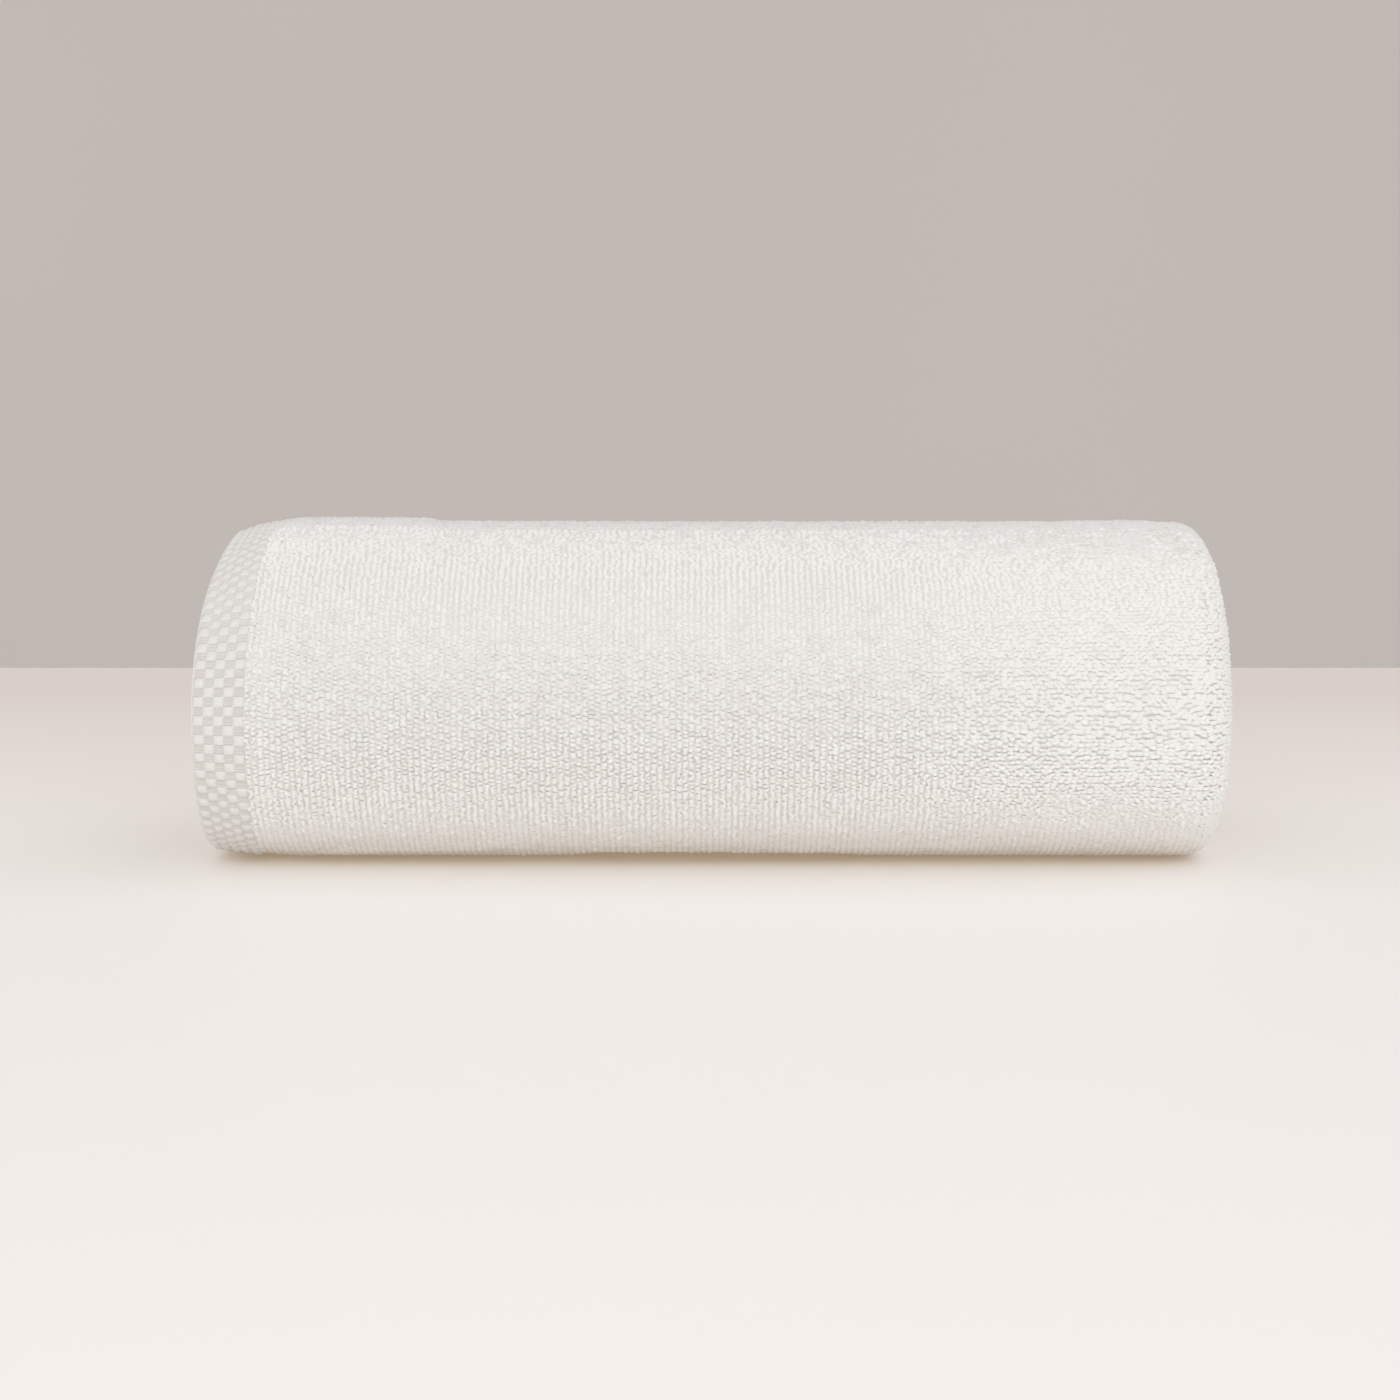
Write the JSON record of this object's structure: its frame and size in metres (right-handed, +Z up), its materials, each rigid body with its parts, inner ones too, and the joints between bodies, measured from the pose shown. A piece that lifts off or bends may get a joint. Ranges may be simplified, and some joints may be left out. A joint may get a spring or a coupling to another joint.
{
  "type": "rolled bath towel",
  "caption": "Plain off-white terry bath towel, folded lengthwise and rolled up, with a checked woven hem at one end of the roll and a rounded fold at the other.",
  "frame": {"origin": "on the surface the roll lies on, under the middle of the roll", "axes": "+X along the roll, from the woven hem to the folded end; +Z up; the loose edge lies underneath towards +Y"},
  "size_m": [0.35, 0.1586, 0.1169],
  "materials": {
    "terry": "matte"
  },
  "bodies": {
    "root": {"rolled_towel": "terry"}
  },
  "joints": []
}
